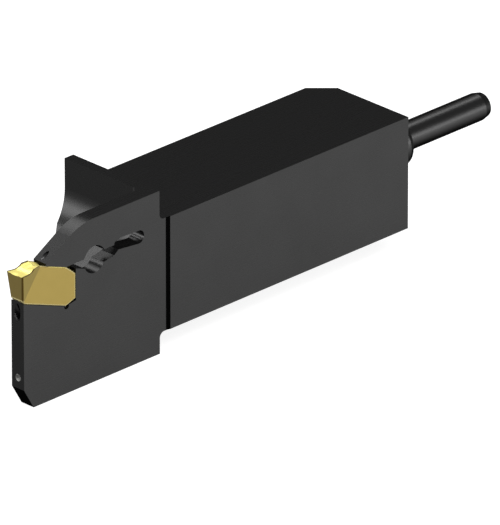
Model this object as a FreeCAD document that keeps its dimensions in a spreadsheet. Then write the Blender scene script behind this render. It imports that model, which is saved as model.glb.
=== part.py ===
import FreeCAD, Part
import os
import re

import Sketcher

# Parting blade holder. Millimetres. X runs to the rear, where the coolant tube is; the insert
# cuts toward -X. Z is up. The origin is on the shank's rear face, mid-width, at its bottom.

SIZES = {
    # every cut starts this far outside the surface
    "cut_lead": "1",
    # shank
    "shank_width": "16",
    "shank_height": "16",
    "shank_length": "45.4",
    "shank_corner_cut": "3",
    # head and wing behind the blade
    "head_rise": "4.12",
    "head_top": "=shank_height + head_rise",
    "head_drop": "3",
    "head_fillet": "0.8",
    "relief_run_out": "1.74",
    "relief_start": "=shank_length - relief_run_out",
    "relief_depth": "0.15",
    "relief_radius": "1.16",
    "wing_length": "1.58",
    "wing_front": "=shank_length + wing_length",
    "wing_straight": "15.9",
    "ramp_radius": "8",
    "ramp_angle": "38.5",
    "taper_inset": "1.42",
    "taper_start": "=wing_front + taper_inset",
    "taper_angle": "35",
    "blade_root_radius": "1",
    # blade
    "blade_thickness": "2.27",
    "blade_side": "=shank_width / 2 - relief_depth",
    "blade_middle": "=blade_side - blade_thickness / 2",
    "blade_reach": "24.3",
    "blade_front": "=shank_length + blade_reach",
    "toe_cut_length": "1.67",
    "toe_cut_height": "2.9",
    # spring jaw
    "jaw_slope": "30.3",
    "jaw_radius": "8.4",
    "nose_setback": "4",
    "nose_position": "=blade_front - nose_setback",
    "nose_top": "16.47",
    "crest": "=nose_position - (head_top - nose_top) / tan(jaw_slope)",
    "crest_tangent": "=jaw_radius * tan(jaw_slope / 2)",
    # insert seat
    "rail_tilt": "20",
    "rail_flank": "15",
    "ridge_height": "=blade_thickness / 2 * tan(rail_flank)",
    "seat_floor": "12.07",
    "seat_floor_length": "7.51",
    "seat_floor_end": "=blade_front - seat_floor_length",
    "seat_length": "9.3",
    "seat_stop": "=blade_front - seat_length",
    "seat_clearance": "0.28",
    "seat_relief_radius": "0.42",
    "seat_relief_offset": "0.1",
    "ridge_root": "0.1",
    "jaw_contact_setback": "7.55",
    "jaw_contact_end": "=blade_front - jaw_contact_setback",
    "jaw_contact_height": "14.88",
    "jaw_underside": "=jaw_contact_height + (nose_position - jaw_contact_end) * tan(rail_tilt)",
    # clamping slot
    "slit_top": "14.87",
    "slit_front_bottom": "14.1",
    "slit_lap": "0.1",
    "slit_rear_bottom": "12.9",
    "lobe_radius": "1.9",
    "lobe_setback": "12.65",
    "lobe_position": "=blade_front - lobe_setback",
    "lobe_height": "14.3",
    "neck_top": "15.13",
    "neck_bottom": "13.1",
    "neck_rise": "0.6",
    "key_front_radius": "0.78",
    "key_front_setback": "16.92",
    "key_front": "=blade_front - key_front_setback",
    "key_front_height": "15.05",
    "key_rear_radius": "0.92",
    "key_rear_setback": "20.6",
    "key_rear": "=blade_front - key_rear_setback",
    "key_rear_height": "14.8",
    # coolant channels
    "channel_radius": "0.55",
    "riser_inset": "1.2",
    "riser_position": "=shank_length + riser_inset",
    "riser_cover": "0.9",
    "drill_point": "31",
    "lower_channel_height": "1.36",
    "upper_channel_height": "16.99",
    "upper_channel_radius": "0.32",
    "upper_channel_setback": "0.7",
    "upper_channel_start": "=nose_position - upper_channel_setback",
    "upper_channel_tilt": "5",
    "outlet_radius": "0.53",
    "outlet_height": "10.6",
    "outlet_tilt": "25",
    "outlet_lead": "1.2",
    "main_channel_radius": "1.75",
    "main_channel_setback": "0.3",
    "cross_channel_radius": "1.3",
    "cross_channel_setback": "0.7",
    "plug_length": "2",
    "plug_chamfer": "0.1",
    # cross drilling plug
    "cup_radius": "1.6",
    "cup_length": "3.6",
    "cup_wall": "0.45",
    "cup_floor": "0.6",
    "cup_depth": "0.3",
    "ball_depth": "1.8",
    # coolant tube
    "tube_height": "8.15",
    "tube_radius": "1.94",
    "tube_bore_radius": "1.2",
    "tube_reach": "22",
    "tube_lead": "1.07",
    "tube_lead_depth": "0.235",
    "collar_radius": "3.64",
    "collar_length": "5.715",
    "collar_chamfer_length": "0.635",
    "collar_chamfer_depth": "0.23",
    "seal_seat_radius": "3",
    "seal_seat_depth": "2.2",
    "seal_groove_radius": "2.1",
    "seal_groove_start": "0.35",
    "seal_groove_end": "1.75",
    "stub_clearance": "0.1",
    "stub_thread_radius": "2.5",
    "stub_length": "7.5",
    "stub_lead": "0.4",
    "stub_seat_length": "8.5",
    "seal_width": "1.1",
    "seal_bevel": "0.25",
    # cutting insert, measured from the middle of its cutting edge
    "edge_overhang": "0.5",
    "edge_position": "=blade_front + edge_overhang",
    "edge_height": "16.1",
    "cutting_width": "3",
    "insert_body_width": "2.25",
    "flank_lean": "0.35",
    "flank_height": "3.6",
    "foot": "0.7",
    "side_relief": "5.7",
    "back_taper": "6.7",
    "head_loft_top": "1",
    "head_loft_length": "6",
    "insert_rear": "=edge_position - seat_stop",
    "insert_rear_bottom": "-6.17",
    "insert_rear_top": "-2.65",
    "rake_length": "1",
    "rake_dip": "0.06",
    "hump_start": "2.45",
    "hump_start_height": "0.45",
    "hump_end": "3.6",
    "hump_end_height": "0.42",
    "hump_foot": "3.95",
    "former_radius": "1.8",
    "hump_radius": "1.2",
    "trough_rise": "6",
    "trough_dip": "0.1",
    "trough_radius": "3",
    "edge_bevel": "0.12",
    "corner_radius": "0.2",
    "groove_lead": "2",
}


# Two places nearer than this are the same place.
TOUCH = 1e-4


def make_sheet(doc):
    sheet = doc.addObject("Spreadsheet::Sheet", "sizes")
    for row, (name, text) in enumerate(SIZES.items(), start=1):
        sheet.set("A%d" % row, name)
        sheet.set("B%d" % row, text)
        sheet.setAlias("B%d" % row, name)
    doc.recompute()
    return sheet


def bound(text):
    """Writes every size name in an expression with the sheet it comes from."""
    def full_name(found):
        word = found.group()
        return "sizes." + word if word in SIZES else word
    return re.sub(r"[a-z_]+", full_name, text)


def value(text):
    number = doc.getObject("sizes").evalExpression(bound(text))
    return getattr(number, "Value", number)


def new_body(label, position=("0", "0", "0")):
    body = doc.addObject("PartDesign::Body", label)
    body.Label = label
    for axis, text in zip("xyz", position):
        body.setExpression("Placement.Base." + axis, bound(text))
    doc.recompute()
    return body


def new_sketch(body, name, plane, offset):
    """An empty sketch on one of the body's own planes, moved along the plane's normal."""
    sketch = body.newObject("Sketcher::SketchObject", name)
    origin_plane = [f for f in body.Origin.OriginFeatures if f.Role == plane][0]
    sketch.AttachmentSupport = [(origin_plane, "")]
    sketch.MapMode = "FlatFace"
    sketch.setExpression("AttachmentOffset.Base.z", bound(offset))
    return sketch


def tie(sketch, kind, geometry, point, text):
    """Ties one coordinate of a sketch point to an expression of the sheet."""
    if text == "0":
        axis = -2 if kind == "DistanceX" else -1
        sketch.addConstraint(Sketcher.Constraint("PointOnObject", geometry, point, axis))
        return
    rule = Sketcher.Constraint(kind, -1, 1, geometry, point, value(text))
    number = sketch.addConstraint(rule)
    sketch.setExpression("Constraints[%d]" % number, bound(text))


def arc_between(start, end, radius, side):
    """Arc from start to end; side 1 bulges to the left of the way, -1 to the right."""
    chord = end - start
    middle = (start + end) / 2
    left = FreeCAD.Vector(-chord.y, chord.x, 0).normalize()
    sagitta = radius - max(radius ** 2 - (chord.Length / 2) ** 2, 0) ** 0.5
    return Part.Arc(start, middle + left * side * sagitta, end)


def draw_outline(sketch, points):
    """Closed outline. A point is (across, up), or (across, up, radius, side) before an arc."""
    spots = [FreeCAD.Vector(value(p[0]), value(p[1]), 0) for p in points]
    ends = []
    for number, point in enumerate(points):
        start = spots[number]
        end = spots[(number + 1) % len(points)]
        if len(point) == 2:
            geometry = sketch.addGeometry(Part.LineSegment(start, end), False)
        else:
            arc = arc_between(start, end, value(point[2]), point[3])
            geometry = sketch.addGeometry(arc, False)
            rule = Sketcher.Constraint("Radius", geometry, value(point[2]))
            size = sketch.addConstraint(rule)
            sketch.setExpression("Constraints[%d]" % size, bound(point[2]))
        first = 1 if sketch.getPoint(geometry, 1).distanceToPoint(start) < TOUCH else 2
        ends.append((geometry, first, 3 - first))
    for number, (geometry, first, last) in enumerate(ends):
        following = ends[(number + 1) % len(ends)]
        joined = Sketcher.Constraint("Coincident", geometry, last, following[0], following[1])
        sketch.addConstraint(joined)
        tie(sketch, "DistanceX", geometry, first, points[number][0])
        tie(sketch, "DistanceY", geometry, first, points[number][1])


def draw_circle(sketch, across, up, radius):
    centre = FreeCAD.Vector(value(across), value(up), 0)
    circle = Part.Circle(centre, FreeCAD.Vector(0, 0, 1), value(radius))
    geometry = sketch.addGeometry(circle, False)
    tie(sketch, "DistanceX", geometry, 3, across)
    tie(sketch, "DistanceY", geometry, 3, up)
    size = sketch.addConstraint(Sketcher.Constraint("Radius", geometry, value(radius)))
    sketch.setExpression("Constraints[%d]" % size, bound(radius))


def finish_feature(feature):
    doc.recompute()
    if "Invalid" in feature.State or "Error" in feature.State or not feature.Shape.isValid():
        raise RuntimeError("bad feature: " + feature.Label)
    return feature


def extrude(body, kind, sketch, length, direction=None):
    """Pad or Pocket of a sketch; the direction is needed only where it is not square."""
    feature = body.newObject("PartDesign::" + kind, sketch.Name + "_" + kind.lower())
    feature.Profile = sketch
    feature.setExpression("Length", bound(length))
    if direction:
        feature.UseCustomVector = True
        feature.AlongSketchNormal = False
        for axis, text in zip("xyz", direction):
            feature.setExpression("Direction." + axis, bound(text))
    return finish_feature(feature)


def cut_outline(body, name, plane, offset, length, points):
    sketch = new_sketch(body, name, plane, offset)
    draw_outline(sketch, points)
    return extrude(body, "Pocket", sketch, length)


def turn(body, kind, name, plane, offset, points, axis=None):
    """Revolution or Groove; without an axis it turns about the line from last to first point."""
    sketch = new_sketch(body, name, plane, offset)
    draw_outline(sketch, points)
    if axis is None:
        first = FreeCAD.Vector(value(points[0][0]), value(points[0][1]), 0)
        last = FreeCAD.Vector(value(points[-1][0]), value(points[-1][1]), 0)
        line = sketch.addGeometry(Part.LineSegment(first, last), True)
        sketch.addConstraint(Sketcher.Constraint("Coincident", line, 1, 0, 1))
        sketch.addConstraint(Sketcher.Constraint("Coincident", line, 2, len(points) - 1, 1))
        axis = "Axis0"
    feature = body.newObject("PartDesign::" + kind, name + "_" + kind.lower())
    feature.Profile = sketch
    feature.ReferenceAxis = (sketch, [axis])
    feature.Angle = 360
    return finish_feature(feature)


def drill(body, name, plane, offset, mouth, angle, steps):
    """Drilling with one or more steps (depth, radius) and the drill's cone at its end."""
    def spot(depth, radius):
        across = "(%s) + (%s) * cos(%s) - (%s) * sin(%s)" % (mouth[0], depth, angle, radius, angle)
        up = "(%s) + (%s) * sin(%s) + (%s) * cos(%s)" % (mouth[1], depth, angle, radius, angle)
        return (across, up)
    start = "-cut_lead"
    points = [spot(start, "0")]
    for depth, radius in steps:
        points.append(spot(start, radius))
        points.append(spot(depth, radius))
        start = depth
    depth, radius = steps[-1]
    points.append(spot("%s + %s * tan(drill_point)" % (depth, radius), "0"))
    return turn(body, "Groove", name, plane, offset, points)


def edges_where(shape, wanted):
    return ["Edge%d" % n for n, edge in enumerate(shape.Edges, start=1) if wanted(edge)]


def lies_at(edge, axis, level):
    return all(abs(getattr(v, axis) - level) < TOUCH for v in edge.Vertexes)


def dress(body, kind, name, wanted, size):
    """Fillet or Chamfer on the edges that the test picks."""
    base = body.Tip
    names = edges_where(base.Shape, wanted)
    if not names:
        raise RuntimeError("no edges for " + name)
    feature = body.newObject("PartDesign::" + kind, name)
    feature.Base = (base, names)
    feature.setExpression("Radius" if kind == "Fillet" else "Size", bound(size))
    return finish_feature(feature)


# The direction of the insert's rails, downhill to the rear.
RAIL = ("cos(rail_tilt)", "0", "-sin(rail_tilt)")


def shank_and_head(body):
    """The square shank, the head's step and the wing that runs down behind the blade."""
    ramp_end = "-wing_front - ramp_radius * (1 - cos(ramp_angle))"
    ramp_end_height = "wing_straight - ramp_radius * sin(ramp_angle)"
    foot = ramp_end + " - (" + ramp_end_height + " + head_drop) * tan(ramp_angle)"
    profile = new_sketch(body, "side_profile", "XZ_Plane", "-shank_width / 2")
    draw_outline(profile, [
        ("0", "0"),
        ("0", "shank_height"),
        ("-shank_length + head_fillet", "shank_height", "head_fillet", 1),
        ("-shank_length", "shank_height + head_fillet"),
        ("-shank_length", "head_top"),
        ("-wing_front", "head_top"),
        ("-wing_front", "wing_straight", "ramp_radius", 1),
        (ramp_end, ramp_end_height),
        (foot, "-head_drop"),
        ("-shank_length", "-head_drop"),
        ("-shank_length", "-head_fillet", "head_fillet", 1),
        ("-shank_length + head_fillet", "0"),
    ])
    extrude(body, "Pad", profile, "shank_width")
    above = "head_top + cut_lead"
    through = "head_top + head_drop + 2 * cut_lead"
    cut_outline(body, "wing_taper", "XY_Plane", above, through, [
        ("-taper_start", "shank_width / 2"),
        ("-taper_start - shank_width", "shank_width / 2 - shank_width * tan(taper_angle)"),
        ("-taper_start - shank_width", "shank_width / 2 + cut_lead"),
        ("-taper_start", "shank_width / 2 + cut_lead"),
    ])
    cut_outline(body, "rear_corner", "XY_Plane", above, through, [
        ("cut_lead", "shank_width / 2 - shank_corner_cut - cut_lead"),
        ("cut_lead", "shank_width / 2 + cut_lead"),
        ("-shank_corner_cut - cut_lead", "shank_width / 2 + cut_lead"),
    ])


def blade(body):
    """The thin blade with the sloping top of the jaw, before the seat and slot are cut."""
    profile = new_sketch(body, "blade_profile", "XZ_Plane", "blade_side - blade_thickness")
    draw_outline(profile, [
        ("-shank_length", "-head_drop"),
        ("-shank_length", "head_top"),
        ("-crest + crest_tangent", "head_top", "jaw_radius", -1),
        ("-crest - crest_tangent * cos(jaw_slope)", "head_top - crest_tangent * sin(jaw_slope)"),
        ("-nose_position", "nose_top"),
        ("-nose_position", "jaw_underside"),
        ("-blade_front", "seat_floor + cut_lead"),
        ("-blade_front", "toe_cut_height - head_drop"),
        ("-blade_front + toe_cut_length", "-head_drop"),
    ])
    extrude(body, "Pad", profile, "blade_thickness")
    inner = -value("blade_side - blade_thickness")
    wing_reach = -value("wing_front + ramp_radius")

    def at_root(edge):
        upright = edge.BoundBox.ZLength > value("blade_root_radius") / 2
        return lies_at(edge, "Y", inner) and upright and edge.BoundBox.XMax > wing_reach

    dress(body, "Fillet", "blade_root", at_root, "blade_root_radius")


def side_relief(body):
    """The blade side of the head is set back a little; a round cutter left the run-out."""
    before = "-blade_front - cut_lead"
    outside = "-shank_width / 2 - cut_lead"
    run_out = "relief_start + sqrt(relief_radius ^ 2 - (relief_radius - relief_depth) ^ 2)"
    through = "head_top + head_drop + 2 * cut_lead"
    cut_outline(body, "blade_side_relief", "XY_Plane", "head_top + cut_lead", through, [
        ("-relief_start", outside),
        ("-relief_start", "-shank_width / 2", "relief_radius", -1),
        ("-(%s)" % run_out, "-blade_side"),
        (before, "-blade_side"),
        (before, outside),
    ])


def insert_seat(body):
    """Pocket for the insert, open to the front, with V ridges on its floor and on the jaw."""
    before = "-blade_front - cut_lead"
    side = "blade_side + cut_lead"
    depth = "blade_thickness + 2 * cut_lead"
    behind_stop = "-seat_stop + slit_lap"
    cut_outline(body, "seat_pocket", "XZ_Plane", side, depth, [
        (before, "seat_floor + cut_lead * tan(rail_tilt)"),
        ("-seat_floor_end", "seat_floor - (blade_front - seat_floor_end) * tan(rail_tilt)"),
        ("-seat_stop", "edge_height + insert_rear_bottom - seat_clearance"),
        ("-seat_stop", "slit_front_bottom"),
        (behind_stop, "slit_front_bottom"),
        (behind_stop, "slit_top"),
        ("-jaw_contact_end", "slit_top"),
        ("-jaw_contact_end", "jaw_contact_height"),
        ("-nose_position", "jaw_underside"),
        ("-nose_position", "head_top + cut_lead"),
        (before, "head_top + cut_lead"),
    ])
    relief = new_sketch(body, "seat_corner_relief", "XZ_Plane", side)
    draw_circle(relief, "-seat_floor_end + seat_relief_offset",
                "seat_floor - (blade_front - seat_floor_end) * tan(rail_tilt)",
                "seat_relief_radius")
    extrude(body, "Pocket", relief, depth)
    inner = "-blade_side + blade_thickness"
    floor = new_sketch(body, "seat_ridge", "YZ_Plane", "-blade_front")
    draw_outline(floor, [
        ("-blade_side", "seat_floor - ridge_root"),
        ("-blade_side", "seat_floor"),
        ("-blade_middle", "seat_floor + ridge_height"),
        (inner, "seat_floor"),
        (inner, "seat_floor - ridge_root"),
    ])
    extrude(body, "Pad", floor, "(blade_front - seat_floor_end) / cos(rail_tilt)", RAIL)
    jaw = new_sketch(body, "jaw_ridge", "YZ_Plane", "-nose_position")
    draw_outline(jaw, [
        ("-blade_side", "jaw_underside + ridge_root"),
        ("-blade_side", "jaw_underside"),
        ("-blade_middle", "jaw_underside - ridge_height"),
        (inner, "jaw_underside"),
        (inner, "jaw_underside + ridge_root"),
    ])
    extrude(body, "Pad", jaw, "(nose_position - jaw_contact_end) / cos(rail_tilt)", RAIL)


def clamping_slot(body):
    """The wave-shaped cut under the jaw: a slit, a round lobe, a neck and the key's oblong lobe."""
    side = "blade_side + cut_lead"
    depth = "blade_thickness + 2 * cut_lead + blade_root_radius"
    cut_outline(body, "slit", "XZ_Plane", side, depth, [
        ("-seat_stop", "slit_front_bottom"),
        ("-seat_stop", "slit_top"),
        ("-lobe_position", "slit_top"),
        ("-lobe_position", "slit_rear_bottom"),
    ])
    lobe = new_sketch(body, "round_lobe", "XZ_Plane", side)
    draw_circle(lobe, "-lobe_position", "lobe_height", "lobe_radius")
    extrude(body, "Pocket", lobe, depth)
    cut_outline(body, "neck", "XZ_Plane", side, depth, [
        ("-lobe_position", "neck_bottom"),
        ("-lobe_position", "neck_top"),
        ("-key_front", "neck_top"),
        ("-key_front", "key_front_height - key_front_radius"),
        ("-key_front - key_front_radius", "neck_bottom + neck_rise"),
    ])
    cut_outline(body, "key_lobe", "XZ_Plane", side, depth, [
        ("-key_front", "key_front_height - key_front_radius", "key_front_radius", 1),
        ("-key_front - key_front_radius", "key_front_height", "key_front_radius", 1),
        ("-key_front", "key_front_height + key_front_radius"),
        ("-key_rear", "key_rear_height + key_rear_radius", "key_rear_radius", 1),
        ("-key_rear + key_rear_radius", "key_rear_height", "key_rear_radius", 1),
        ("-key_rear", "key_rear_height - key_rear_radius"),
    ])


def coolant_channels(body):
    """Drillings from the rear through the head to the outlets above and below the insert."""
    middle = "blade_middle"
    drill(body, "tube_seat", "XZ_Plane", "0", ("0", "tube_height"), "180", [
        ("seal_seat_depth", "seal_seat_radius"),
        ("stub_seat_length", "stub_thread_radius"),
        ("riser_position - main_channel_setback", "main_channel_radius"),
    ])
    drill(body, "cross_channel", "XY_Plane", "tube_height",
          ("-riser_position", "shank_width / 2"), "-90", [
              ("cup_length + cup_depth", "cup_radius"),
              ("shank_width / 2 + blade_middle - cross_channel_setback", "cross_channel_radius"),
          ])
    drill(body, "riser", "XZ_Plane", middle, ("-riser_position", "-head_drop"), "90", [
        ("head_drop + head_top - riser_cover", "channel_radius"),
    ])
    drill(body, "lower_channel", "XZ_Plane", middle,
          ("-blade_front", "lower_channel_height"), "0", [
              ("blade_front - riser_position", "channel_radius"),
          ])
    drill(body, "upper_channel", "XZ_Plane", middle,
          ("-upper_channel_start - cut_lead * cos(upper_channel_tilt)",
           "upper_channel_height - cut_lead * sin(upper_channel_tilt)"), "upper_channel_tilt", [
               ("(upper_channel_start - riser_position) / cos(upper_channel_tilt) + cut_lead",
                "upper_channel_radius"),
           ])
    outlet_rise = "(outlet_height - lower_channel_height)"
    drill(body, "lower_outlet", "XZ_Plane", middle,
          ("-blade_front - outlet_lead * sin(outlet_tilt)",
           "outlet_height + outlet_lead * cos(outlet_tilt)"), "outlet_tilt - 90", [
              (outlet_rise + " / cos(outlet_tilt) + outlet_lead", "outlet_radius"),
          ])


def make_holder():
    body = new_body("holder_body")
    shank_and_head(body)
    blade(body)
    side_relief(body)
    insert_seat(body)
    clamping_slot(body)
    coolant_channels(body)
    return body


def make_insert():
    """Single-ended insert with chip former, side relief and V grooves for the rails."""
    body = new_body("cutting_insert", ("-edge_position", "-blade_middle", "edge_height"))
    half = "(insert_body_width / 2)"
    floor = "seat_floor - edge_height"
    foot_height = "%s - (foot - edge_position + blade_front) * tan(rail_tilt)" % floor
    floor_end = "edge_position - seat_floor_end"
    floor_end_height = "%s - (blade_front - seat_floor_end) * tan(rail_tilt)" % floor
    top_end = "edge_position - jaw_contact_end"
    top_end_height = "jaw_contact_height - edge_height"
    profile = new_sketch(body, "insert_profile", "XZ_Plane", "-" + half)
    draw_outline(profile, [
        ("0", "0"),
        ("flank_lean", "-flank_height"),
        ("foot", foot_height),
        (floor_end, floor_end_height),
        ("insert_rear", "insert_rear_bottom"),
        ("insert_rear", "insert_rear_top"),
        (top_end, top_end_height),
        ("hump_foot", "%s + (%s - hump_foot) * tan(rail_tilt)" % (top_end_height, top_end)),
        ("hump_end", "hump_end_height"),
        ("hump_start", "hump_start_height"),
        ("rake_length", "-rake_dip"),
    ])
    extrude(body, "Pad", profile, "insert_body_width")
    side = value(half)

    def on_side(edge):
        return lies_at(edge, "Y", side) or lies_at(edge, "Y", -side)

    dress(body, "Chamfer", "edge_bevels", on_side, "edge_bevel")
    cutting_head(body)
    chip_former(body)
    rail_grooves(body)
    return body


def cutting_head(body):
    """The wide cutting end: its flanks lean in toward the foot and toward the rear."""
    lean = "flank_lean / flank_height"
    sections = []
    for name, height in (("head_top_section", "head_loft_top"),
                         ("head_bottom_section", "-flank_height")):
        front = "-(%s) * %s" % (height, lean)
        width = "(cutting_width / 2 + (%s) * tan(side_relief))" % height
        rear_width = "(%s - head_loft_length * tan(back_taper))" % width
        section = new_sketch(body, name, "XY_Plane", height)
        draw_outline(section, [
            (front, "corner_radius - " + width),
            (front, width + " - corner_radius", "corner_radius", 1),
            (front + " + corner_radius", width),
            ("head_loft_length", rear_width),
            ("head_loft_length", "-" + rear_width),
            (front + " + corner_radius", "-" + width, "corner_radius", 1),
        ])
        sections.append(section)
    loft = body.newObject("PartDesign::AdditiveLoft", "cutting_head")
    loft.Profile = sections[0]
    loft.Sections = sections[1:]
    loft.Ruled = True
    finish_feature(loft)


def chip_former(body):
    """The rake face with its shallow trough, and the hump behind it that curls the chip."""
    top = "head_loft_top + cut_lead"
    top_end = "edge_position - jaw_contact_end"
    top_end_height = "jaw_contact_height - edge_height"
    foot_height = "%s + (%s - hump_foot) * tan(rail_tilt)" % (top_end_height, top_end)
    cut_outline(body, "rake_face", "XZ_Plane", "cutting_width", "2 * cutting_width", [
        ("-cut_lead", "0"),
        ("0", "0"),
        ("rake_length", "-rake_dip", "former_radius", -1),
        ("hump_start", "hump_start_height", "hump_radius", 1),
        ("hump_end", "hump_end_height"),
        ("hump_foot", foot_height),
        (top_end, top_end_height),
        (top_end, top),
        ("-cut_lead", top),
    ])
    half = "(cutting_width / 2)"
    bank = "trough_radius - sqrt(trough_radius ^ 2 - %s ^ 2)" % half
    start = bank + " - trough_dip - cut_lead * tan(trough_rise)"
    trough = new_sketch(body, "rake_trough", "YZ_Plane", "-cut_lead")
    draw_outline(trough, [
        ("-" + half, start, "trough_radius", -1),
        (half, start),
        (half, top),
        ("-" + half, top),
    ])
    uphill = ("cos(trough_rise)", "0", "sin(trough_rise)")
    extrude(body, "Pocket", trough, "hump_foot + cut_lead", uphill)


def rail_grooves(body):
    """V grooves along the bottom and the top, matched to the ridges of seat and jaw."""
    side = "(blade_thickness / 2)"
    length = "(insert_rear + 2 * groove_lead) / cos(rail_tilt)"
    floor = "seat_floor - edge_height + (edge_overhang + groove_lead) * tan(rail_tilt)"
    lower = new_sketch(body, "lower_groove", "YZ_Plane", "-groove_lead")
    draw_outline(lower, [
        ("-" + side, floor + " - cut_lead"),
        ("-" + side, floor),
        ("0", floor + " + ridge_height"),
        (side, floor),
        (side, floor + " - cut_lead"),
    ])
    extrude(body, "Pocket", lower, length, RAIL)
    roof = "jaw_contact_height - edge_height"
    roof += " + (edge_position - jaw_contact_end + groove_lead) * tan(rail_tilt)"
    upper = new_sketch(body, "upper_groove", "YZ_Plane", "-groove_lead")
    draw_outline(upper, [
        ("-" + side, roof + " + cut_lead"),
        ("-" + side, roof),
        ("0", roof + " - ridge_height"),
        (side, roof),
        (side, roof + " + cut_lead"),
    ])
    extrude(body, "Pocket", upper, length, RAIL)


def make_tube():
    """Turned coolant tube: threaded stub with a seal groove, round collar and thin long end."""
    body = new_body("coolant_tube", ("0", "0", "tube_height"))
    land = "seal_seat_radius - stub_clearance"
    land_end = "seal_groove_end + seal_groove_start"
    turn(body, "Revolution", "tube_profile", "XZ_Plane", "0", [
        ("-stub_length", "0"),
        ("-stub_length", "stub_thread_radius - stub_lead"),
        ("-stub_length + stub_lead", "stub_thread_radius"),
        ("-(%s)" % land_end, "stub_thread_radius"),
        ("-(%s)" % land_end, land),
        ("-seal_groove_end", land),
        ("-seal_groove_end", "seal_groove_radius"),
        ("-seal_groove_start", "seal_groove_radius"),
        ("-seal_groove_start", land),
        ("0", land),
        ("0", "collar_radius"),
        ("collar_length - collar_chamfer_length", "collar_radius"),
        ("collar_length", "collar_radius - collar_chamfer_depth"),
        ("collar_length", "tube_radius"),
        ("tube_reach - tube_lead", "tube_radius"),
        ("tube_reach", "tube_radius - tube_lead_depth"),
        ("tube_reach", "0"),
    ])
    drill(body, "tube_bore", "XZ_Plane", "0", ("tube_reach", "0"), "180", [
        ("tube_reach + stub_length + cut_lead", "tube_bore_radius"),
    ])
    return body


def make_seal():
    """Rubber ring, squeezed between the groove of the stub and the seat in the shank."""
    body = new_body("tube_seal_ring", ("0", "0", "tube_height"))
    rear = "-(seal_groove_start + seal_groove_end - seal_width) / 2"
    front = "-(seal_groove_start + seal_groove_end + seal_width) / 2"
    inner = "seal_groove_radius"
    outer = "seal_seat_radius"
    turn(body, "Revolution", "ring_section", "XZ_Plane", "0", [
        (front + " + seal_bevel", inner),
        (rear + " - seal_bevel", inner),
        (rear, inner + " + seal_bevel"),
        (rear, outer + " - seal_bevel"),
        (rear + " - seal_bevel", outer),
        (front + " + seal_bevel", outer),
        (front, outer + " - seal_bevel"),
        (front, inner + " + seal_bevel"),
    ], "H_Axis")
    return body


def make_plug(label, position, turned):
    """Pressed pin that closes the end of a thin drilling, flush with the surface."""
    body = new_body(label, position)
    body.Placement.Rotation = FreeCAD.Rotation(FreeCAD.Vector(0, 1, 0), turned)
    turn(body, "Revolution", label + "_profile", "XZ_Plane", "0", [
        ("0", "0"),
        ("0", "channel_radius - plug_chamfer"),
        ("plug_chamfer", "channel_radius"),
        ("plug_length - plug_chamfer", "channel_radius"),
        ("plug_length", "channel_radius - plug_chamfer"),
        ("plug_length", "0"),
    ])
    return body


def make_plugs():
    front = make_plug("front_plug", ("-blade_front", "-blade_middle", "lower_channel_height"), 0)
    bottom = make_plug("bottom_plug", ("-riser_position", "-blade_middle", "-head_drop"), -90)
    plugs = doc.addObject("Part::Compound", "channel_plugs")
    plugs.Label = "channel_plugs"
    plugs.Links = [front, bottom]
    doc.recompute()
    return plugs


def make_cup():
    """Cup of the expander plug that closes the cross drilling."""
    body = new_body("cross_plug_cup",
                    ("-riser_position", "shank_width / 2 - cup_depth", "tube_height"))
    inner = "cup_radius - cup_wall"
    turn(body, "Revolution", "cup_profile", "XY_Plane", "0", [
        ("0", "-cup_length"),
        ("cup_radius - plug_chamfer", "-cup_length"),
        ("cup_radius", "-cup_length + plug_chamfer"),
        ("cup_radius", "-plug_chamfer"),
        ("cup_radius - plug_chamfer", "0"),
        (inner, "0"),
        (inner, "cup_floor - cup_length"),
        ("0", "cup_floor - cup_length"),
    ])
    return body


def make_ball():
    """Steel ball driven into the cup, which it spreads against the drilling."""
    depth = "cup_depth + ball_depth"
    body = new_body("cross_plug_ball",
                    ("-riser_position", "shank_width / 2 - (%s)" % depth, "tube_height"))
    radius = "cup_radius - cup_wall"
    turn(body, "Revolution", "ball_profile", "XY_Plane", "0", [
        ("0", "-(%s)" % radius, radius, -1),
        (radius, "0", radius, -1),
        ("0", radius),
    ])
    return body


def export(piece):
    shape = piece.Shape
    if shape.isNull() or not shape.isValid() or not shape.Solids:
        raise RuntimeError("bad piece: " + piece.Label)
    print(piece.Label, round(shape.Volume, 2), len(shape.Solids))
    shape.exportStep("parts/%s.step" % piece.Label)


def main():
    pieces = [
        make_holder(),
        make_insert(),
        make_tube(),
        make_seal(),
        make_plugs(),
        make_cup(),
        make_ball(),
    ]
    os.makedirs("parts", exist_ok=True)
    for piece in pieces:
        export(piece)


doc = FreeCAD.newDocument("parting_blade_holder")
make_sheet(doc)
main()
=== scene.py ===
import math

import bpy
from mathutils import Matrix, Vector


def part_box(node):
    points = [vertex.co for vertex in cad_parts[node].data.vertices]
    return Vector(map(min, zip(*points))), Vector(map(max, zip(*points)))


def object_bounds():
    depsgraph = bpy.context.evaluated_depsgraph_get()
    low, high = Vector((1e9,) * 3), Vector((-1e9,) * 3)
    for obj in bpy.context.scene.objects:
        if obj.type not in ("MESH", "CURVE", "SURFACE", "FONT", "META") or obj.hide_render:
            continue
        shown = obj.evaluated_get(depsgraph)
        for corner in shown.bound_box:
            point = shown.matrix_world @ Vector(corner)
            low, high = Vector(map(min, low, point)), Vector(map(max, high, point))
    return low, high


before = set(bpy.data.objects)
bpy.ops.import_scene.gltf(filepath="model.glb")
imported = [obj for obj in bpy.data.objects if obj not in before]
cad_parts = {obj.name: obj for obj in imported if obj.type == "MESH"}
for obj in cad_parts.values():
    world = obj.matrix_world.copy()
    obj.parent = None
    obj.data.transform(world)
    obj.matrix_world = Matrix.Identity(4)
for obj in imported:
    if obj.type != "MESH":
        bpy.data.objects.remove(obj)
cad_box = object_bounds()

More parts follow.
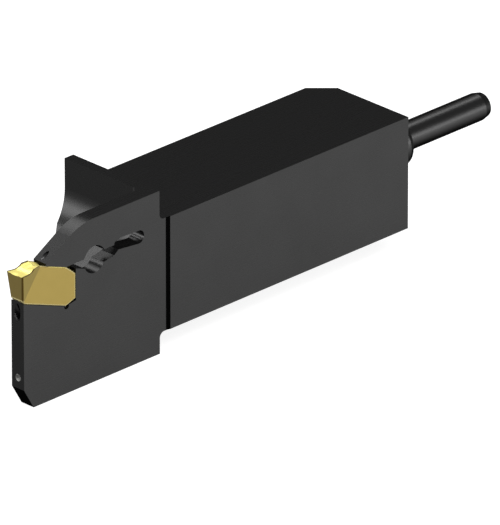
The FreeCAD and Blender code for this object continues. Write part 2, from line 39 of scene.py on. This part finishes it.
# Holder body: one bar of tool steel, milled to a square shank with a thin blade on one side. The seat
# and the wave-shaped clamping slot are wire cut, the faces ground and then blackened all over, so the
# edges stay crisp and the black is a dull satin, a little paler where the grinding lay catches light.
MM = 0.001
BLACK_OXIDE = "#404040"
BLACK_OXIDE_WORN = "#454545"
# Painted shade: faces that do not face sideways are painted darker than the sides.
BLACK_OXIDE_PAINTED_SHADE = "#343434"
# Painted shade: faces that face the front are painted darker still.
BLACK_OXIDE_FRONT_PAINTED_SHADE = "#222222"
# Painted shade: the fillet's run-out and the toe cut are painted black.
BLACK_PAINTED_SHADE = "#050505"
# Painted highlight on the walls inside the jet bore.
JET_BORE_PAINTED_HIGHLIGHT = "#ffffff"
# Painted light on the upward walls inside the nose bore.
NOSE_BORE_PAINTED_LIGHT = "#707070"
OXIDE_METALLIC = 0.85
GROUND_GLOSS = (0.26, 0.29)
GROUND_EDGE_TINT = 0.5
GROUND_LAY = (0.05, 1.0, 1.0)
GRINDING_LAY_MM = 0.35  # the real lay is near 0.05 mm, too fine to show, so it is drawn coarser
LAY_RELIEF = 0.005
OXIDE_CLOUD_MM = 6.0
SIDE_FACING_LIMIT = 0.9
FRONT_FACING = (0.999, 0.985)
RUN_OUT_START_MM = 44.30
RUN_OUT_END_MM = 43.62
RUN_OUT_SIDE_MM = 7.84
BLADE_MIDDLE_MM = 6.715
BORE_REACH_MM = 0.6
JET_BORE_START_MM = 67.0
JET_WALL_FACING = (0.04, 0.3)
NOSE_BORE_START_MM = 62.0
NOSE_BORE_LOW_MM = 16.3
NOSE_WALL_FACING = (0.2, 0.1)
TOE_CUT_FACING = (0.8, 0.4)


def linear(hex_colour):
    """sRGB hex to the linear colour that a shader socket takes."""
    channels = [int(hex_colour[i:i + 2], 16) / 255 for i in (1, 3, 5)]
    straight = [c / 12.92 if c <= 0.04045 else ((c + 0.055) / 1.055) ** 2.4 for c in channels]
    return (*straight, 1.0)


def add_node(tree, kind, links=(), **settings):
    """A node with its settings; a link is (input name or number, the socket it comes from)."""
    node = tree.nodes.new(kind)
    for name, setting in settings.items():
        if name.startswith("in_"):
            key = name[3:].replace("_", " ")
            socket = next(s for s in node.inputs if s.name.lower() == key and s.enabled)
            socket.default_value = setting
        else:
            setattr(node, name, setting)
    for name, source in links:
        tree.links.new(source, node.inputs[name])
    return node


def new_material(name):
    material = bpy.data.materials.new(name)
    material.use_nodes = True
    tree = material.node_tree
    tree.nodes.clear()
    output = tree.nodes.new("ShaderNodeOutputMaterial")
    shader = tree.nodes.new("ShaderNodeBsdfPrincipled")
    tree.links.new(shader.outputs["BSDF"], output.inputs["Surface"])
    return material, tree, shader


def paint(node_name, material):
    """Gives a CAD node its real finish in place of the plain one."""
    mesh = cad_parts[node_name].data
    mesh.materials.clear()
    mesh.materials.append(material)


def patch_where(tree, *tests):
    """1 on the patch of surface where every test holds; a test is (value, operation, limit)."""
    patch = None
    for value, operation, limit in tests:
        held = add_node(tree, "ShaderNodeMath", [(0, value)], operation=operation)
        held.inputs[1].default_value = limit
        if patch is not None:
            held = add_node(tree, "ShaderNodeMath", [(0, patch), (1, held.outputs[0])],
                            operation="MULTIPLY")
        patch = held.outputs[0]
    return patch


def tone_patch(tree, patch, colour, other):
    """The surface's colour, with another one on the patch."""
    mixed = add_node(tree, "ShaderNodeMix", [("Factor", patch)], data_type="RGBA",
                     in_b=linear(other))
    tree.links.new(colour, mixed.inputs[6])
    return mixed.outputs[2]


def off_centre(tree, value, centre):
    """How far a coordinate is from its centre, on either side."""
    offset = add_node(tree, "ShaderNodeMath", [(0, value)], operation="SUBTRACT")
    offset.inputs[1].default_value = centre
    return add_node(tree, "ShaderNodeMath", [(0, offset.outputs[0])], operation="ABSOLUTE").outputs[0]


def painted_shade_tones(tree, place, colour):
    """Painted shade off the sides and in front, painted black run-out and toe cut, painted highlights
    in bores.
    """
    facing = add_node(tree, "ShaderNodeTexCoord").outputs["Normal"]
    facing = add_node(tree, "ShaderNodeSeparateXYZ", [("Vector", facing)])
    face_x, face_y, face_z = facing.outputs
    place = add_node(tree, "ShaderNodeSeparateXYZ", [("Vector", place)])
    x, y, z = place.outputs
    # Painted shade: every face that does not face sideways is painted darker.
    painted_shades = patch_where(tree, (off_centre(tree, face_y, 0.0), "LESS_THAN", SIDE_FACING_LIMIT))
    colour = tone_patch(tree, painted_shades, colour, BLACK_OXIDE_PAINTED_SHADE)
    # Painted shade: the faces that face the front are painted darker still.
    front = add_node(tree, "ShaderNodeMapRange", [("Value", face_x)], in_from_min=-FRONT_FACING[0],
                     in_from_max=-FRONT_FACING[1], in_to_min=1.0, in_to_max=0.0)
    colour = tone_patch(tree, front.outputs["Result"], colour, BLACK_OXIDE_FRONT_PAINTED_SHADE)
    # Painted shade: the run-out of the fillet between blade and shank is painted black.
    run_out = patch_where(tree, (x, "GREATER_THAN", -RUN_OUT_START_MM * MM),
                          (x, "LESS_THAN", -RUN_OUT_END_MM * MM),
                          (y, "LESS_THAN", -RUN_OUT_SIDE_MM * MM))
    colour = tone_patch(tree, run_out, colour, BLACK_PAINTED_SHADE)
    off_middle = off_centre(tree, y, -BLADE_MIDDLE_MM * MM)
    # Painted highlight: the jet bore's walls facing out and to the side are painted white.
    jet_wall = patch_where(tree, (off_middle, "LESS_THAN", BORE_REACH_MM * MM),
                           (x, "LESS_THAN", -JET_BORE_START_MM * MM),
                           (face_x, "GREATER_THAN", JET_WALL_FACING[0]),
                           (face_y, "LESS_THAN", -JET_WALL_FACING[1]))
    colour = tone_patch(tree, jet_wall, colour, JET_BORE_PAINTED_HIGHLIGHT)
    # Painted light: the upward walls inside the nose bore are painted pale grey.
    nose_wall = patch_where(tree, (off_middle, "LESS_THAN", BORE_REACH_MM * MM),
                            (x, "LESS_THAN", -NOSE_BORE_START_MM * MM),
                            (z, "GREATER_THAN", NOSE_BORE_LOW_MM * MM),
                            (face_x, "GREATER_THAN", -NOSE_WALL_FACING[0]),
                            (face_z, "GREATER_THAN", NOSE_WALL_FACING[1]))
    colour = tone_patch(tree, nose_wall, colour, NOSE_BORE_PAINTED_LIGHT)
    # Painted shade: the toe cut is painted black and its reflection turned off.
    toe_cut = patch_where(tree, (face_x, "LESS_THAN", -TOE_CUT_FACING[0]),
                          (face_z, "LESS_THAN", -TOE_CUT_FACING[1]))
    toe_shade_metallic = add_node(tree, "ShaderNodeMapRange", [("Value", toe_cut)],
                    in_to_min=OXIDE_METALLIC, in_to_max=0.0)
    return tone_patch(tree, toe_cut, colour, BLACK_PAINTED_SHADE), toe_shade_metallic.outputs["Result"]


def blackened_steel(name, lay_stretch, gloss, edge_tint, metallic, painted_shades=False):
    """Black oxide on steel: a dark satin whose fine lay breaks up the pale reflections."""
    material, tree, shader = new_material(name)
    place = add_node(tree, "ShaderNodeTexCoord").outputs["Object"]
    lay = add_node(tree, "ShaderNodeMapping", [("Vector", place)], in_scale=lay_stretch)
    scratches = add_node(tree, "ShaderNodeTexNoise", [("Vector", lay.outputs["Vector"])],
                         in_scale=1 / (GRINDING_LAY_MM * MM), in_detail=3.0, in_roughness=0.6)
    clouds = add_node(tree, "ShaderNodeTexNoise", [("Vector", place)],
                      in_scale=1 / (OXIDE_CLOUD_MM * MM), in_detail=2.0)
    tone = add_node(tree, "ShaderNodeMix", [("Factor", clouds.outputs["Fac"])], data_type="RGBA",
                    in_a=linear(BLACK_OXIDE), in_b=linear(BLACK_OXIDE_WORN))
    colour = tone.outputs[2]
    shader.inputs["Metallic"].default_value = metallic
    if painted_shades:
        colour, painted_shade_metallic = painted_shade_tones(tree, place, colour)
        tree.links.new(painted_shade_metallic, shader.inputs["Metallic"])
    tree.links.new(colour, shader.inputs["Base Color"])
    sheen = add_node(tree, "ShaderNodeMapRange", [("Value", scratches.outputs["Fac"])],
                     in_to_min=gloss[0], in_to_max=gloss[1])
    tree.links.new(sheen.outputs["Result"], shader.inputs["Roughness"])
    relief = add_node(tree, "ShaderNodeBump", [("Height", scratches.outputs["Fac"])],
                      in_strength=LAY_RELIEF, in_distance=0.01 * MM)
    tree.links.new(relief.outputs["Normal"], shader.inputs["Normal"])
    shader.inputs["Specular IOR Level"].default_value = 0.0
    shader.inputs["Specular Tint"].default_value = (edge_tint, edge_tint, edge_tint, 1.0)
    return material


# The body's colour carries painted shade and painted highlights, set by where each face points.
paint("holder_body", blackened_steel("black oxide tool steel", GROUND_LAY, GROUND_GLOSS,
                                     GROUND_EDGE_TINT, OXIDE_METALLIC, painted_shades=True))

# Channel plugs: two short pins of bare steel, turned and pressed flush into the ends of the thin
# drillings at the blade's toe and under the head. They stay bright because they go in last, and the
# punch that sets the toe's pin leaves its end slightly dished.
BARE_STEEL = "#626260"
BARE_STEEL_DULL = "#50504e"
TURNED_GRAIN_MM = 0.3  # real turning marks are near 0.1 mm, too fine to show, so drawn coarser
BARE_GLOSS = (0.28, 0.4)
DISH_DEPTH_MM = 0.16


def bare_steel(name, gloss):
    """Bare steel: a plain grey metal whose faint grain shifts its tone and gloss together."""
    material, tree, shader = new_material(name)
    place = add_node(tree, "ShaderNodeTexCoord").outputs["Object"]
    grain = add_node(tree, "ShaderNodeTexNoise", [("Vector", place)],
                     in_scale=1 / (TURNED_GRAIN_MM * MM), in_detail=3.0)
    tone = add_node(tree, "ShaderNodeMix", [("Factor", grain.outputs["Fac"])], data_type="RGBA",
                    in_a=linear(BARE_STEEL_DULL), in_b=linear(BARE_STEEL))
    tree.links.new(tone.outputs[2], shader.inputs["Base Color"])
    rough = add_node(tree, "ShaderNodeMapRange", [("Value", grain.outputs["Fac"])],
                     in_to_min=gloss[0], in_to_max=gloss[1])
    tree.links.new(rough.outputs["Result"], shader.inputs["Roughness"])
    shader.inputs["Metallic"].default_value = 1.0
    return material, tree, shader, place


pins_low, pins_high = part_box("channel_plugs")
pin_radius = (pins_high[1] - pins_low[1]) / 2
toe_pin_axis = (0.0, pins_low[1] + pin_radius, pins_high[2] - pin_radius)
pin_steel, pin_tree, pin_shader, pin_place = bare_steel("turned bare steel", BARE_GLOSS)
off_axis = add_node(pin_tree, "ShaderNodeVectorMath", [(0, pin_place)], operation="SUBTRACT")
off_axis.inputs[1].default_value = toe_pin_axis
off_axis = add_node(pin_tree, "ShaderNodeVectorMath", [(0, off_axis.outputs[0])],
                    operation="MULTIPLY")
off_axis.inputs[1].default_value = (0.0, 1.0, 1.0)
off_axis = add_node(pin_tree, "ShaderNodeVectorMath", [(0, off_axis.outputs[0])],
                    operation="LENGTH")
dish = add_node(pin_tree, "ShaderNodeMapRange", [("Value", off_axis.outputs["Value"])],
                in_from_max=pin_radius)
dish = add_node(pin_tree, "ShaderNodeBump", [("Height", dish.outputs["Result"])],
                in_strength=1.0, in_distance=DISH_DEPTH_MM * MM)
pin_tree.links.new(dish.outputs["Normal"], pin_shader.inputs["Normal"])
paint("channel_plugs", pin_steel)

# Cross drilling plug: a drawn steel cup with a hardened ball driven into it, in the far side of the
# head. Both are bare steel, the cup as it was drawn and the ball polished.
POLISHED_GLOSS = (0.08, 0.14)
paint("cross_plug_cup", bare_steel("drawn bare steel", BARE_GLOSS)[0])
paint("cross_plug_ball", bare_steel("polished ball steel", POLISHED_GLOSS)[0])

# Seal ring: a moulded nitrile rubber ring in the groove of the tube's stub, squeezed in its seat. The
# rubber is a matt black with a faint greyish bloom.
NITRILE_RUBBER = "#161616"
RUBBER_BLOOM = "#1e1e1e"
BLOOM_PATCH_MM = 0.8
RUBBER_ROUGHNESS = 0.6
rubber, rubber_tree, rubber_shader = new_material("moulded nitrile rubber")
rubber_place = add_node(rubber_tree, "ShaderNodeTexCoord").outputs["Object"]
rubber_bloom = add_node(rubber_tree, "ShaderNodeTexNoise", [("Vector", rubber_place)],
                        in_scale=1 / (BLOOM_PATCH_MM * MM))
rubber_tone = add_node(rubber_tree, "ShaderNodeMix", [("Factor", rubber_bloom.outputs["Fac"])],
                       data_type="RGBA", in_a=linear(NITRILE_RUBBER), in_b=linear(RUBBER_BLOOM))
rubber_tree.links.new(rubber_tone.outputs[2], rubber_shader.inputs["Base Color"])
rubber_shader.inputs["Roughness"].default_value = RUBBER_ROUGHNESS
paint("tube_seal_ring", rubber)

# Coolant tube: turned from round steel in one piece with its collar and threaded stub, blackened like
# the body and screwed into the shank's rear. The turned black is a little duller than the ground one,
# so light lies on it in soft bands, and its lay runs round it.
TURNED_LAY = (1.0, 0.15, 0.15)
TURNED_GLOSS = (0.34, 0.37)
TURNED_EDGE_TINT = 0.0
TURNED_METALLIC = 1.0
paint("coolant_tube", blackened_steel("black oxide turned steel", TURNED_LAY, TURNED_GLOSS,
                                      TURNED_EDGE_TINT, TURNED_METALLIC))

# Cutting insert: sintered carbide, pressed to shape with V grooves and a chip former, ground and
# coated with gold titanium nitride. The coating is a thin metal film, satin and slightly mottled,
# with painted shade on its downward faces, corners, front flank and along the honed cutting edges,
# and painted highlights on the rake and along the rounded bottom and rear edges.
GOLD_NITRIDE = "#ac9651"
GOLD_NITRIDE_DEEP = "#a5904c"
# Painted shade on the insert's downward faces.
GOLD_NITRIDE_RELIEF_SHADE = "#948346"
# Painted shade on the front flank.
GOLD_NITRIDE_FLANK_SHADE = "#665829"
# Painted highlight on the rake.
GOLD_NITRIDE_RAKE_HIGHLIGHT = "#fff08a"
# Painted highlight along the bottom and rear edges.
GOLD_NITRIDE_EDGE_HIGHLIGHT = "#c8bc88"
# Painted shade on the corners and along the cutting edges.
EDGE_AND_CORNER_SHADE = "#4a3a12"
COATING_METALLIC = 0.3
COATING_SPECULAR = 0.1
COATING_GLOSS = (0.26, 0.34)
COATING_GRAIN_MM = 0.12  # the real grain is near 0.01 mm, too fine to show, so it is drawn coarser
COATING_CLOUD_MM = 1.5
GRAIN_RELIEF = 0.03
RELIEF_FACING = 0.04
CORNER_FACING = 0.2
FLANK_FACING = 0.88
RAKE_FACING = 0.6
EDGE_SHADE_WIDTH_MM = 0.2
# Width of the painted highlight along the bottom and rear edges.
EDGE_HIGHLIGHT_MM = 0.3  # the real edge is rounded by 0.05 mm or so, drawn wider to show
ROUNDING_TURN = 0.995
EDGE_HIGHLIGHT_FACING = 0.2
CUTTING_EDGE_HEIGHT_MM = 16.1
SIDE_RELIEF = math.radians(5.7)
BACK_TAPER = math.radians(6.7)
insert_low, insert_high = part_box("cutting_insert")


def off_cutting_edges(tree, place):
    """How far a point is from the relieved sides of the head, which narrow down and rearwards."""
    half_width = (insert_high[1] - insert_low[1]) / 2
    middle = (insert_high[1] + insert_low[1]) / 2
    narrowing = (-math.tan(BACK_TAPER), 0.0, math.tan(SIDE_RELIEF))
    corner = (insert_low[0], 0.0, CUTTING_EDGE_HEIGHT_MM * MM)
    at_corner = sum(n * c for n, c in zip(narrowing, corner))
    change = add_node(tree, "ShaderNodeVectorMath", [(0, place)], operation="DOT_PRODUCT")
    change.inputs[1].default_value = narrowing
    side = add_node(tree, "ShaderNodeMath", [(0, change.outputs["Value"])], operation="ADD")
    side.inputs[1].default_value = half_width - at_corner
    spot = add_node(tree, "ShaderNodeSeparateXYZ", [("Vector", place)])
    across = off_centre(tree, spot.outputs["Y"], middle)
    inside = add_node(tree, "ShaderNodeMath", [(0, side.outputs[0]), (1, across)],
                      operation="SUBTRACT")
    return off_centre(tree, inside.outputs[0], 0.0)


def edge_highlight_band(tree):
    """1 along the bottom and rear edges, where a highlight is painted on the coat."""
    rounded = add_node(tree, "ShaderNodeBevel", samples=8, in_radius=EDGE_HIGHLIGHT_MM * MM)
    flat = add_node(tree, "ShaderNodeNewGeometry").outputs["Normal"]
    likeness = add_node(tree, "ShaderNodeVectorMath", [(0, rounded.outputs["Normal"]), (1, flat)],
                        operation="DOT_PRODUCT").outputs["Value"]
    turned = add_node(tree, "ShaderNodeSeparateXYZ", [("Vector", rounded.outputs["Normal"])])
    below = patch_where(tree, (likeness, "LESS_THAN", ROUNDING_TURN),
                        (turned.outputs["Z"], "LESS_THAN", -EDGE_HIGHLIGHT_FACING))
    behind = patch_where(tree, (likeness, "LESS_THAN", ROUNDING_TURN),
                         (turned.outputs["X"], "GREATER_THAN", EDGE_HIGHLIGHT_FACING))
    return add_node(tree, "ShaderNodeMath", [(0, below), (1, behind)],
                    operation="MAXIMUM").outputs[0]


def gold_coated_carbide():
    """A satin gold film, with painted shade and painted highlights on its faces, corners and edges."""
    material, tree, shader = new_material("gold nitride coated carbide")
    place = add_node(tree, "ShaderNodeTexCoord").outputs["Object"]
    grain = add_node(tree, "ShaderNodeTexNoise", [("Vector", place)],
                     in_scale=1 / (COATING_GRAIN_MM * MM), in_detail=4.0)
    clouds = add_node(tree, "ShaderNodeTexNoise", [("Vector", place)],
                      in_scale=1 / (COATING_CLOUD_MM * MM), in_detail=2.0)
    tone = add_node(tree, "ShaderNodeMix", [("Factor", clouds.outputs["Fac"])], data_type="RGBA",
                    in_a=linear(GOLD_NITRIDE_DEEP), in_b=linear(GOLD_NITRIDE))
    facing = add_node(tree, "ShaderNodeTexCoord").outputs["Normal"]
    facing = add_node(tree, "ShaderNodeSeparateXYZ", [("Vector", facing)])
    face_x, face_y, face_z = facing.outputs
    relieved = patch_where(tree, (face_z, "LESS_THAN", -RELIEF_FACING))
    corner = patch_where(tree, (face_x, "LESS_THAN", -CORNER_FACING))
    flank = patch_where(tree, (face_x, "LESS_THAN", -FLANK_FACING))
    rake = patch_where(tree, (face_z, "GREATER_THAN", RAKE_FACING))
    edge_shade = patch_where(tree, (off_cutting_edges(tree, place), "LESS_THAN", EDGE_SHADE_WIDTH_MM * MM),
                        (off_centre(tree, face_y, 0.0), "LESS_THAN", SIDE_FACING_LIMIT))
    # Painted shade on the downward faces.
    colour = tone_patch(tree, relieved, tone.outputs[2], GOLD_NITRIDE_RELIEF_SHADE)
    # Painted shade on the corners.
    colour = tone_patch(tree, corner, colour, EDGE_AND_CORNER_SHADE)
    # Painted shade on the front flank.
    colour = tone_patch(tree, flank, colour, GOLD_NITRIDE_FLANK_SHADE)
    # Painted highlight on the rake.
    colour = tone_patch(tree, rake, colour, GOLD_NITRIDE_RAKE_HIGHLIGHT)
    # Painted shade along the cutting edges.
    colour = tone_patch(tree, edge_shade, colour, EDGE_AND_CORNER_SHADE)
    # Painted highlight along the bottom and rear edges.
    colour = tone_patch(tree, edge_highlight_band(tree), colour, GOLD_NITRIDE_EDGE_HIGHLIGHT)
    tree.links.new(colour, shader.inputs["Base Color"])
    rough = add_node(tree, "ShaderNodeMapRange", [("Value", grain.outputs["Fac"])],
                     in_to_min=COATING_GLOSS[0], in_to_max=COATING_GLOSS[1])
    tree.links.new(rough.outputs["Result"], shader.inputs["Roughness"])
    relief = add_node(tree, "ShaderNodeBump", [("Height", grain.outputs["Fac"])],
                      in_strength=GRAIN_RELIEF, in_distance=0.01 * MM)
    tree.links.new(relief.outputs["Normal"], shader.inputs["Normal"])
    shader.inputs["Metallic"].default_value = COATING_METALLIC
    shader.inputs["Specular IOR Level"].default_value = COATING_SPECULAR
    return material


paint("cutting_insert", gold_coated_carbide())

# Floor: a large pale satin sheet that the holder lies on. The camera sees it as white, the steel shows
# it white where it is seen low and darker from above, and the lamps add the object's soft shadow.
FLOOR_HEIGHT = cad_box[0][2]
FLOOR_SIZE = 30.0
FLOOR_GLOW = 0.86
FLOOR_MATT = 0.4
SATIN_FROM, SATIN_TO = 0.21, 0.74
floor_mesh = bpy.data.meshes.new("studio_floor")
half = FLOOR_SIZE / 2
corners = [(-half, -half), (half, -half), (half, half), (-half, half)]
floor_mesh.from_pydata([(x, y, FLOOR_HEIGHT) for x, y in corners], [], [(0, 1, 2, 3)])
floor = bpy.data.objects.new("studio_floor", floor_mesh)
bpy.context.collection.objects.link(floor)
floor_paint = bpy.data.materials.new("matt white floor")
floor_paint.use_nodes = True
floor_tree = floor_paint.node_tree
floor_tree.nodes.clear()
ray = add_node(floor_tree, "ShaderNodeLightPath")
seen = add_node(floor_tree, "ShaderNodeMath", [(0, ray.outputs["Is Camera Ray"]),
                                               (1, ray.outputs["Is Transmission Ray"])],
                operation="MAXIMUM")
seen_level = add_node(floor_tree, "ShaderNodeMath", [(0, seen.outputs[0])], operation="MULTIPLY")
seen_level.inputs[1].default_value = FLOOR_GLOW
lowness = add_node(floor_tree, "ShaderNodeLayerWeight", in_blend=0.5)
satin = add_node(floor_tree, "ShaderNodeMapRange", [("Value", lowness.outputs["Facing"])],
                 in_from_min=SATIN_FROM, in_from_max=SATIN_TO)
steel_level = add_node(floor_tree, "ShaderNodeMath", [(0, ray.outputs["Is Glossy Ray"]),
                                                      (1, satin.outputs["Result"])],
                       operation="MULTIPLY")
glow_level = add_node(floor_tree, "ShaderNodeMath", [(0, seen_level.outputs[0]),
                                                     (1, steel_level.outputs[0])],
                      operation="MAXIMUM")
glow = add_node(floor_tree, "ShaderNodeEmission", [("Strength", glow_level.outputs[0])])
matt = add_node(floor_tree, "ShaderNodeBsdfDiffuse",
                in_color=(FLOOR_MATT, FLOOR_MATT, FLOOR_MATT, 1.0))
both = add_node(floor_tree, "ShaderNodeAddShader", [(0, matt.outputs[0]), (1, glow.outputs[0])])
add_node(floor_tree, "ShaderNodeOutputMaterial", [("Surface", both.outputs[0])])
floor_mesh.materials.append(floor_paint)

# Studio light: a dim grey room with a key softbox high in front and a wide low one on the blade's
# side. Narrower ones stand high behind, low to the left and round the tube, and their reflections draw
# the pale bands on the round surfaces. Each row gives direction, distance, width, height, radiance.
ROOM_LEVEL = 0.24
AIM = Vector((-35 * MM, 0, 8 * MM))
SOFTBOXES = [
    ("key_softbox", (-0.35, -0.5, 0.8), 0.50, 0.30, 0.30, 5.0),
    ("side_softbox", (0.30, -1.0, 0.18), 0.55, 0.60, 0.20, 3.5),
    ("tube_front_strip", (0.639, -0.766, 0.05), 0.60, 0.40, 0.12, 2.0),
    ("tube_end_strip", (0.97, 0.11, 0.03), 0.40, 0.20, 0.08, 6.0),
    ("tube_top_strip", (0.639, 0.219, 0.738), 0.60, 0.18, 0.17, 6.3),
    ("high_back_softbox", (0.25, 0.642, 0.72), 0.60, 0.24, 0.18, 5.5),
    ("jaw_softbox", (-0.048, 0.642, 0.765), 0.60, 0.14, 0.14, 3.0),
    ("left_back_softbox", (-0.55, 0.642, 0.53), 0.60, 0.14, 0.14, 8.0),
    ("left_floor_strip", (-0.767, 0.642, 0.02), 0.22, 0.30, 0.09, 5.8),
]
world = bpy.data.worlds.new("grey studio room")
bpy.context.scene.world = world
world.use_nodes = True
room = world.node_tree.nodes["Background"]
room.inputs["Color"].default_value = (1.0, 1.0, 1.0, 1.0)
room.inputs["Strength"].default_value = ROOM_LEVEL
for name, direction, distance, width, height, radiance in SOFTBOXES:
    lamp = bpy.data.lights.new(name, "AREA")
    lamp.shape = "RECTANGLE"
    lamp.size = width
    lamp.size_y = height
    lamp.energy = radiance * math.pi * width * height
    softbox = bpy.data.objects.new(name, lamp)
    toward = Vector(direction).normalized()
    softbox.location = AIM + toward * distance
    softbox.rotation_euler = toward.to_track_quat("Z", "Y").to_euler()
    softbox.visible_camera = False
    bpy.context.collection.objects.link(softbox)

# Camera: far off with a long lens, at the photograph's angle, left of the blade's side and above. The
# target's offsets put the object where the photograph has it in the frame.
AZIMUTH = math.radians(-44.875)
ELEVATION = math.radians(25.073)
TARGET = Vector((-25 * MM, 0, 8 * MM))
TARGET_RIGHT = 2.690 * MM
TARGET_UP = -6.655 * MM
CAMERA_DISTANCE = 1.797
LENS = 948.8
SENSOR_WIDTH = 36.0
FARTHEST = 100.0
back = Vector((math.sin(AZIMUTH) * math.cos(ELEVATION), -math.cos(AZIMUTH) * math.cos(ELEVATION),
               math.sin(ELEVATION)))
right = Vector((math.cos(AZIMUTH), math.sin(AZIMUTH), 0))
up = back.cross(right)
camera_data = bpy.data.cameras.new("photo_camera")
camera_data.lens = LENS
camera_data.sensor_width = SENSOR_WIDTH
camera_data.clip_end = FARTHEST
camera = bpy.data.objects.new("photo_camera", camera_data)
bpy.context.collection.objects.link(camera)
turn = Matrix((right, up, back)).transposed()
spot = TARGET + right * TARGET_RIGHT + up * TARGET_UP + back * CAMERA_DISTANCE
camera.matrix_world = Matrix.Translation(spot) @ turn.to_4x4()
bpy.context.scene.camera = camera
bpy.context.scene.view_settings.view_transform = "Standard"
